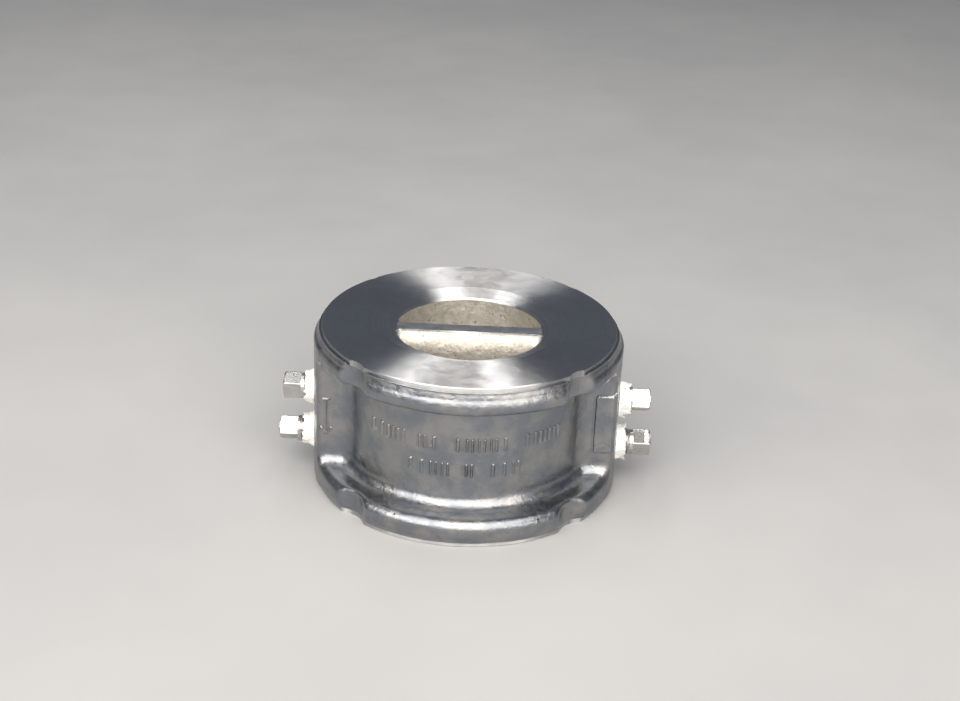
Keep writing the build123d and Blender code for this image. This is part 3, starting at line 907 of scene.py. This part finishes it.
class Look:
    """A procedural material being put together. Sizes are in millimetres."""

    def __init__(self, name):
        self.material = bpy.data.materials.new(name)
        self.material.use_nodes = True
        self.tree = self.material.node_tree
        self.shader = self.tree.nodes["Principled BSDF"]
        self.place = self.node("ShaderNodeTexCoord").outputs["Object"]
        self.surface = None

    def node(self, kind, **settings):
        made = self.tree.nodes.new(kind)
        for key, value in settings.items():
            setattr(made, key, value)
        return made

    def join(self, source, target):
        self.tree.links.new(source, target)

    def set(self, **values):
        """Fixed values on the shader's own inputs, with _ for a space in their names."""
        for key, value in values.items():
            self.shader.inputs[key.replace("_", " ")].default_value = value

    def stretched(self, x, y, z):
        """Object coordinates scaled along each axis. A noise runs longer where the scale is small."""
        made = self.node("ShaderNodeVectorMath", operation="MULTIPLY")
        self.join(self.place, made.inputs[0])
        made.inputs[1].default_value = (x, y, z)
        return made.outputs[0]

    def radius(self):
        """Distance from the Z axis."""
        flat = self.stretched(1, 1, 0)
        made = self.node("ShaderNodeVectorMath", operation="LENGTH")
        self.join(flat, made.inputs[0])
        return made.outputs["Value"]

    def noise(self, size, detail=3, rough=0.5, place=None, twist=0):
        """Noise whose lumps are about that size."""
        made = self.node("ShaderNodeTexNoise")
        self.join(place or self.place, made.inputs["Vector"])
        made.inputs["Scale"].default_value = 1000 / size
        made.inputs["Detail"].default_value = detail
        made.inputs["Roughness"].default_value = rough
        made.inputs["Distortion"].default_value = twist
        return made.outputs["Fac"]

    def rings(self, size, detail=3):
        """Noise that depends only on the distance from the Z axis."""
        made = self.node("ShaderNodeTexNoise", noise_dimensions="1D")
        self.join(self.radius(), made.inputs["W"])
        made.inputs["Scale"].default_value = 1000 / size
        made.inputs["Detail"].default_value = detail
        return made.outputs["Fac"]

    def pits(self, size):
        """Distance from scattered points, for pits and specks."""
        made = self.node("ShaderNodeTexVoronoi")
        self.join(self.place, made.inputs["Vector"])
        made.inputs["Scale"].default_value = 1000 / size
        return made.outputs["Distance"]

    def span(self, value, low, high, low_out=0.0, high_out=1.0):
        """The value's range low to high, stretched to another range."""
        made = self.node("ShaderNodeMapRange", interpolation_type="SMOOTHSTEP")
        self.join(value, made.inputs["Value"])
        ends = {"From Min": low, "From Max": high, "To Min": low_out, "To Max": high_out}
        for key, number in ends.items():
            made.inputs[key].default_value = number
        return made.outputs["Result"]

    def math(self, operation, first, second):
        made = self.node("ShaderNodeMath", operation=operation)
        for slot, value in enumerate((first, second)):
            if isinstance(value, (int, float)):
                made.inputs[slot].default_value = value
            else:
                self.join(value, made.inputs[slot])
        return made.outputs[0]

    def mix(self, share, first, second):
        """From the first colour to the second as the share goes from 0 to 1."""
        made = self.node("ShaderNodeMix", data_type="RGBA")
        self.join(share, made.inputs["Factor"])
        for slot, value in (("A", first), ("B", second)):
            socket = next(s for s in made.inputs if s.name == slot and s.type == "RGBA")
            if isinstance(value, tuple):
                socket.default_value = (*value, 1)
            else:
                self.join(value, socket)
        return next(s for s in made.outputs if s.type == "RGBA")

    def edges(self, low, high):
        """Nought where the surface is hollow, one on outer edges."""
        return self.span(self.node("ShaderNodeNewGeometry").outputs["Pointiness"], low, high)

    def relief(self, height, depth):
        """Adds bump of that depth to what is there."""
        made = self.node("ShaderNodeBump")
        made.inputs["Strength"].default_value = 1
        made.inputs["Distance"].default_value = depth * MM
        self.join(height, made.inputs["Height"])
        if self.surface:
            self.join(self.surface, made.inputs["Normal"])
        self.surface = made.outputs["Normal"]

    def finish(self, colour, roughness):
        self.join(colour, self.shader.inputs["Base Color"])
        self.join(roughness, self.shader.inputs["Roughness"])
        if self.surface:
            self.join(self.surface, self.shader.inputs["Normal"])
        return self.material

    def grain_round_z(self, amount, turn):
        """Brushed grain that runs in circles round the Z axis."""
        tangent = self.node("ShaderNodeTangent", direction_type="RADIAL", axis="Z")
        self.join(tangent.outputs[0], self.shader.inputs["Tangent"])
        self.set(Anisotropic=amount, Anisotropic_Rotation=turn)


def cast_look():
    """Blasted, pickled casting skin: orange peel, warm and cool mottle, grime and painted shade where the
    surface is hollow, convex edges painted lighter as wear and painted highlight, and pinholes painted dark
    as shade.
    """
    look = Look("cast_stainless")
    look.set(Metallic=1.0)
    mottle = look.span(look.noise(11, 4, 0.6), 0.36, 0.64)
    colour = look.mix(mottle, (0.215, 0.232, 0.262), (0.31, 0.31, 0.312))
    # Grime and painted shade: where pointiness is low the skin is painted darker.
    hollow_grime_and_shade = look.edges(0.42, 0.49)
    colour = look.mix(hollow_grime_and_shade, (0.17, 0.165, 0.16), colour)
    # Edge wear and painted highlight: convex edges, where pointiness is high, are painted lighter.
    edges = look.edges(0.53, 0.64)
    colour = look.mix(edges, colour, (0.46, 0.445, 0.42))
    # Painted shade: scattered casting pinholes are painted near black; a shallow bump further down gives
    # them a little depth.
    pin_holes = look.span(look.pits(14), 0.02, 0.045)
    colour = look.mix(pin_holes, (0.05, 0.05, 0.05), colour)
    roughness = look.span(look.noise(2.4, 4, 0.6), 0.3, 0.7, 0.27, 0.43)
    look.relief(look.noise(2.6, 3, 0.5, twist=0.6), 0.16)
    look.relief(look.noise(1.1, 2, 0.5), 0.06)
    look.relief(look.noise(0.35, 2, 0.5), 0.010)
    look.relief(pin_holes, 0.15)
    return look.finish(colour, roughness)


def port_look():
    """Unmachined port walls: coarse and pale, painted darker in the low places of the relief, as grime and
    painted shade.
    """
    look = Look("port_cast")
    look.set(Metallic=1.0)
    mottle = look.span(look.noise(3, 4, 0.6), 0.35, 0.65)
    colour = look.mix(mottle, (0.46, 0.435, 0.395), (0.56, 0.535, 0.49))
    # Grime and painted shade: the same noise as the coarse relief paints its low places darker.
    crevice_grime_and_shade = look.span(look.noise(1.3, 4, 0.6, twist=0.4), 0.30, 0.44)
    colour = look.mix(crevice_grime_and_shade, (0.30, 0.275, 0.24), colour)
    roughness = look.span(look.noise(1.0, 3), 0.3, 0.7, 0.48, 0.62)
    look.relief(look.noise(1.3, 4, 0.6, twist=0.4), 0.3)
    look.relief(look.noise(0.5, 3), 0.05)
    return look.finish(colour, roughness)


def turned_look(name, roughness_range, turn):
    """Lathe-turned steel: fine rings, the streaks that they make, smudges and a few nicks."""
    look = Look(name)
    look.set(Metallic=1.0)
    rings = look.rings(0.5, 4)
    smudge = look.noise(9, 5, 0.6, twist=0.8)
    colour = look.mix(look.span(smudge, 0.35, 0.65), (0.50, 0.51, 0.525), (0.60, 0.60, 0.60))
    dull = look.mix(look.span(rings, 0.4, 0.6), (0.5, 0.5, 0.51), colour)
    colour = look.mix(look.span(rings, 0.35, 0.65), dull, colour)
    nicks = look.span(look.pits(6.5), 0.02, 0.05)
    colour = look.mix(nicks, (0.72, 0.72, 0.72), colour)
    scuffs = look.noise(3.2, 6, 0.62, twist=1.2)
    low, high = roughness_range
    worn = look.span(scuffs, 0.5, 0.75, 0.0, 0.08)
    roughness = look.math("ADD", look.span(smudge, 0.3, 0.7, low, high), worn)
    look.relief(rings, 0.012)
    look.relief(look.rings(2.2, 2), 0.012)
    look.relief(scuffs, 0.035)
    look.relief(nicks, 0.03)
    look.grain_round_z(1.0, turn)
    return look.finish(colour, roughness)


def brushed_look(name, light, dark, rough, long_axis, depth):
    """Drawn, milled or ground steel, with fine lines along one axis."""
    look = Look(name)
    look.set(Metallic=1.0)
    scale = [1.0, 1.0, 1.0]
    scale["XYZ".index(long_axis)] = 0.06
    lines = look.noise(0.22, 3, 0.6, look.stretched(*scale))
    stain = look.noise(3.0, 4, 0.6)
    colour = look.mix(look.span(stain, 0.25, 0.75), dark, light)
    colour = look.mix(look.span(lines, 0.25, 0.5), dark, colour)
    # Edge wear and painted highlight: convex edges, where pointiness is high, are painted lighter.
    edges = look.edges(0.52, 0.6)
    colour = look.mix(edges, colour, (0.78, 0.77, 0.75))
    worn = look.span(stain, 0.4, 0.7, 0, 0.08)
    roughness = look.math("ADD", look.span(lines, 0.3, 0.7, rough, rough + 0.12), worn)
    look.relief(lines, depth)
    look.relief(look.noise(1.1, 3), 0.02)
    return look.finish(colour, roughness)


def plate_look():
    """Cast half-disc plates, lapped bright on the seat side."""
    look = Look("plate_stainless")
    look.set(Metallic=1.0)
    height = look.node("ShaderNodeSeparateXYZ")
    look.join(look.place, height.inputs[0])
    lapped = look.span(height.outputs["Z"], (SEAT_Z - 0.35) * MM, (SEAT_Z - 0.2) * MM)
    skin = look.mix(look.span(look.noise(5, 4, 0.6), 0.35, 0.65), (0.36, 0.35, 0.335), (0.50, 0.48, 0.45))
    fine = look.mix(look.span(look.noise(7, 4), 0.35, 0.65), (0.55, 0.55, 0.55), (0.64, 0.64, 0.63))
    colour = look.mix(lapped, skin, fine)
    # Edge wear and painted highlight: convex edges, where pointiness is high, are painted lighter.
    colour = look.mix(look.edges(0.515, 0.57), colour, (0.66, 0.65, 0.62))
    rough_skin = look.span(look.noise(2, 4, 0.6), 0.3, 0.7, 0.36, 0.5)
    rough_lapped = look.span(look.rings(0.4, 3), 0.3, 0.7, 0.2, 0.3)
    share = look.node("ShaderNodeMix", data_type="FLOAT")
    look.join(lapped, share.inputs[0])
    look.join(rough_skin, share.inputs[2])
    look.join(rough_lapped, share.inputs[3])
    rest = look.math("SUBTRACT", 1.0, lapped)
    look.relief(look.math("MULTIPLY", look.noise(2.0, 3), rest), 0.16)
    look.relief(look.math("MULTIPLY", look.noise(0.6, 2), rest), 0.05)
    look.relief(look.rings(0.4, 3), 0.006)
    return look.finish(colour, share.outputs[0])


def rubber_look():
    """Moulded nitrile rubber with a faint bloom."""
    look = Look("seat_rubber")
    bloom = look.span(look.noise(5, 5, 0.65), 0.4, 0.7)
    colour = look.mix(bloom, (0.012, 0.012, 0.013), (0.045, 0.045, 0.048))
    roughness = look.span(look.noise(1.5, 4), 0.3, 0.7, 0.42, 0.62)
    look.relief(look.noise(0.35, 3), 0.02)
    return look.finish(colour, roughness)


def tape_look():
    """Thread tape: soft white film with fine lengthwise fibres and folds that hold a little shade."""
    look = Look("thread_tape")
    look.set(Subsurface_Weight=0.12, Subsurface_Radius=(0.6, 0.6, 0.6), Subsurface_Scale=0.001)
    fibres = look.noise(0.25, 3, 0.6, look.stretched(0.25, 1, 1))
    shade = look.span(look.noise(1.6, 4, 0.6), 0.35, 0.65)
    colour = look.mix(shade, (0.78, 0.78, 0.76), (0.92, 0.92, 0.90))
    colour = look.mix(look.edges(0.42, 0.49), (0.55, 0.55, 0.53), colour)
    roughness = look.span(fibres, 0.3, 0.7, 0.42, 0.62)
    look.relief(look.noise(0.9, 3, 0.6, twist=1), 0.12)
    look.relief(fibres, 0.03)
    return look.finish(colour, roughness)


def floor_look():
    """A plain pale sweep with the faintest unevenness."""
    look = Look("pale_floor")
    tone = look.span(look.noise(160, 4), 0.3, 0.7)
    colour = look.mix(tone, (0.35, 0.355, 0.365), (0.38, 0.385, 0.39))
    roughness = look.span(look.noise(30, 4), 0.3, 0.7, 0.6, 0.75)
    look.relief(look.noise(1.2, 3), 0.02)
    return look.finish(colour, roughness)


def repaint(node, material):
    """Gives a CAD node its material."""
    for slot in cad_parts[node].material_slots:
        slot.link = "OBJECT"
        slot.material = material


# ---------------------------------------------------------------- the valve

cast = cast_look()
turned = turned_look("turned_stainless", (0.32, 0.38), TURN_OF_GRAIN)
bored = turned_look("bored_stainless", (0.40, 0.48), TURN_OF_GRAIN)
bar_top = brushed_look("bar_top_stainless", (0.50, 0.51, 0.53), (0.40, 0.41, 0.43), 0.3, "X", 0.02)
valve_body([cast, turned, port_look(), bored, bar_top])
steel = brushed_look("plug_stainless", (0.62, 0.61, 0.59), (0.50, 0.49, 0.47), 0.24, "X", 0.012)
film = tape_look()
for side in ("left", "right"):
    for place in ("hinge", "stop"):
        plug(side, place, [steel])
        tape(side, place, [film])
spring([brushed_look("spring_wire", (0.58, 0.575, 0.56), (0.42, 0.41, 0.39), 0.26, "Y", 0.01)])
repaint("seat_seal", rubber_look())
plates = plate_look()
for node in ("front_plate", "rear_plate"):
    repaint(node, plates)
pins = brushed_look("pin_stainless", (0.64, 0.64, 0.63), (0.54, 0.54, 0.53), 0.14, "X", 0.006)
for node in ("hinge_pin", "stop_pin"):
    repaint(node, pins)
washers = brushed_look("washer_stainless", (0.62, 0.61, 0.58), (0.48, 0.47, 0.45), 0.2, "X", 0.008)
for side in ("left", "right"):
    for place in ("body", "plate", "spring"):
        repaint(f"{side}_{place}_bearing", washers)


# ---------------------------------------------------------------- floor, light and camera

def floor():
    """A pale floor that the valve stands on."""
    half = 2000.0
    points = [(-half, -half, 0), (half, -half, 0), (half, half, 0), (-half, half, 0)]
    new_piece("floor", points, [(0, 1, 2, 3)], [floor_look()])


def softbox(name, direction, distance, size, power, colour):
    """A soft rectangular light that faces the valve from that direction."""
    light = bpy.data.lights.new(name, "AREA")
    light.shape = "RECTANGLE"
    light.size, light.size_y = size
    light.energy = power
    light.color = colour
    holder = bpy.data.objects.new(name, light)
    away = Vector(direction).normalized()
    across = Vector((0, 1, 0)).cross(away).normalized()
    holder.matrix_world = Matrix((across, away.cross(across), away)).transposed().to_4x4()
    holder.location = away * distance
    bpy.context.scene.collection.objects.link(holder)
    return holder


def lights():
    """Two boxes overhead, a wide panel in front and a cool surround."""
    softbox("left_overhead", (-0.27, 0.25, 0.93), 0.9, (0.045, 0.6), 1.7, (1.0, 0.985, 0.96))
    softbox("right_overhead", (0.14, 0.25, 0.96), 0.9, (0.045, 0.6), 1.7, (1.0, 0.985, 0.96))
    softbox("top_panel", (-0.1, -0.5, 0.85), 1.0, (2.0, 0.7), 28, (1.0, 0.94, 0.86))
    softbox("front_panel", (0.05, -0.88, 0.47), 1.2, (2.8, 0.62), 33, (1.0, 0.94, 0.86))
    world = bpy.data.worlds.new("surround")
    world.use_nodes = True
    background = world.node_tree.nodes["Background"]
    background.inputs["Color"].default_value = (0.62, 0.68, 0.80, 1)
    background.inputs["Strength"].default_value = 0.32
    bpy.context.scene.world = world


def camera():
    """A short telephoto from the front, a little above the inlet face."""
    height, roll, distance = math.radians(25.16), math.radians(2.47), 0.6312
    forward = Vector((0, math.cos(height), -math.sin(height)))
    level = Vector((1, 0, 0))
    upward = Vector((0, math.sin(height), math.cos(height)))
    across = math.cos(roll) * level + math.sin(roll) * upward
    over = math.cos(roll) * upward - math.sin(roll) * level
    lens = bpy.data.cameras.new("camera")
    lens.lens = 63.75
    lens.sensor_width = 36
    holder = bpy.data.objects.new("camera", lens)
    place = 0.0060 * across + 0.04434 * over - distance * forward
    holder.matrix_world = Matrix((across, over, -forward)).transposed().to_4x4()
    holder.location = place
    bpy.context.scene.collection.objects.link(holder)
    bpy.context.scene.camera = holder


floor()
lights()
camera()
bpy.context.scene.view_settings.view_transform = "Standard"
bpy.context.scene.view_settings.exposure = -0.55
